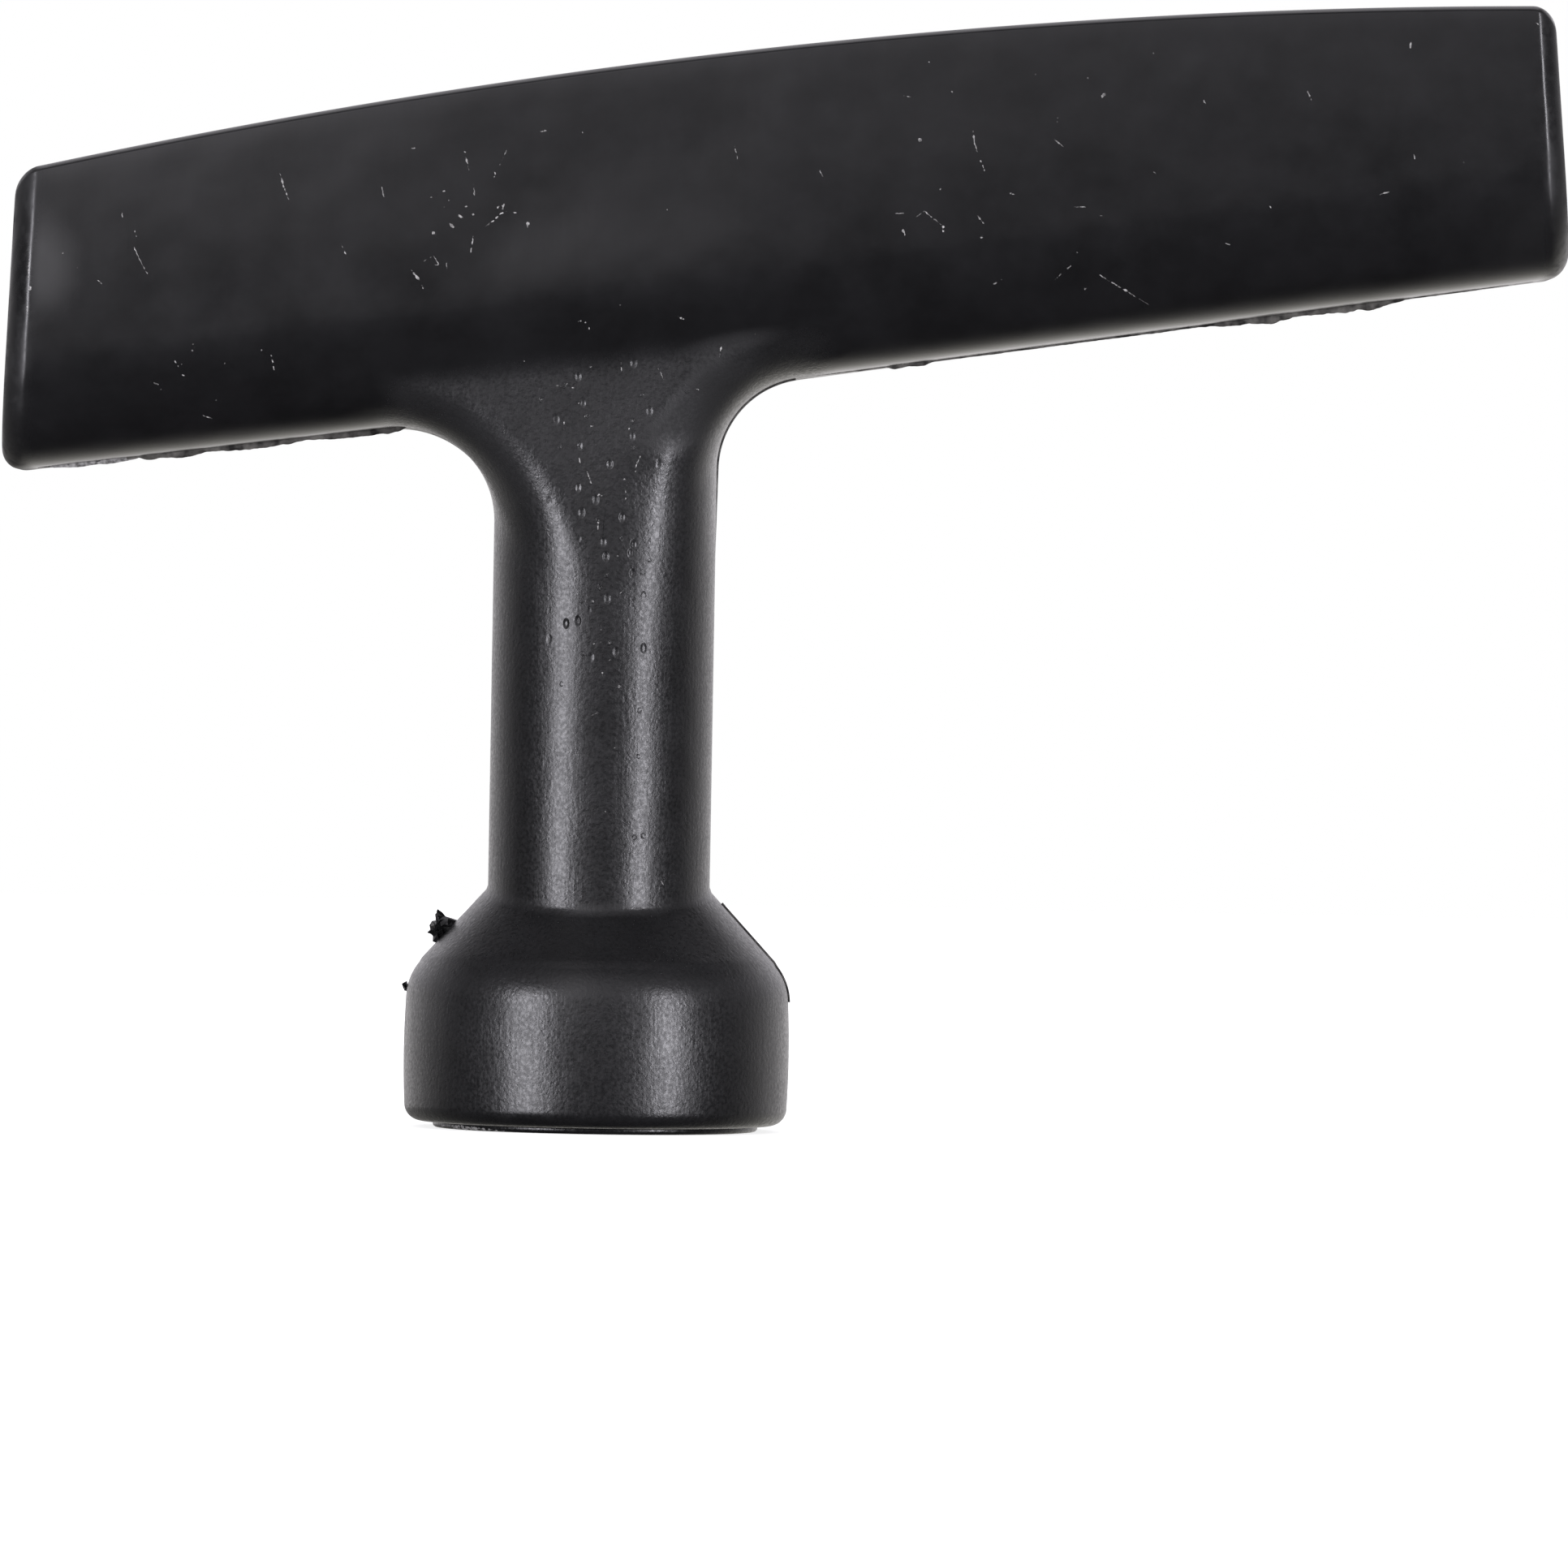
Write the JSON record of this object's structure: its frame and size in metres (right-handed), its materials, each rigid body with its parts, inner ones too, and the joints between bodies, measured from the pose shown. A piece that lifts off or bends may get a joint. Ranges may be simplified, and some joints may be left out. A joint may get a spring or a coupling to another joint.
{
  "type": "starter handle",
  "caption": "One-piece moulded plastic pull handle for a recoil starter: curved hollow T-grip with a rope knot pocket, oval stem and flared bell.",
  "frame": {"origin": "centre of the bell's foot, the flat lip it stands on, on the stem's axis", "axes": "+Z along the stem's axis from the bell to the grip, +X towards the longer arm of the grip, +Y across the handle; the mould parts at Y = 0"},
  "size_m": [0.0999, 0.0246, 0.0723],
  "materials": {
    "black_plastic": "satin black, lightly scuffed"
  },
  "bodies": {
    "root": {"handle": "black_plastic"}
  },
  "joints": []
}
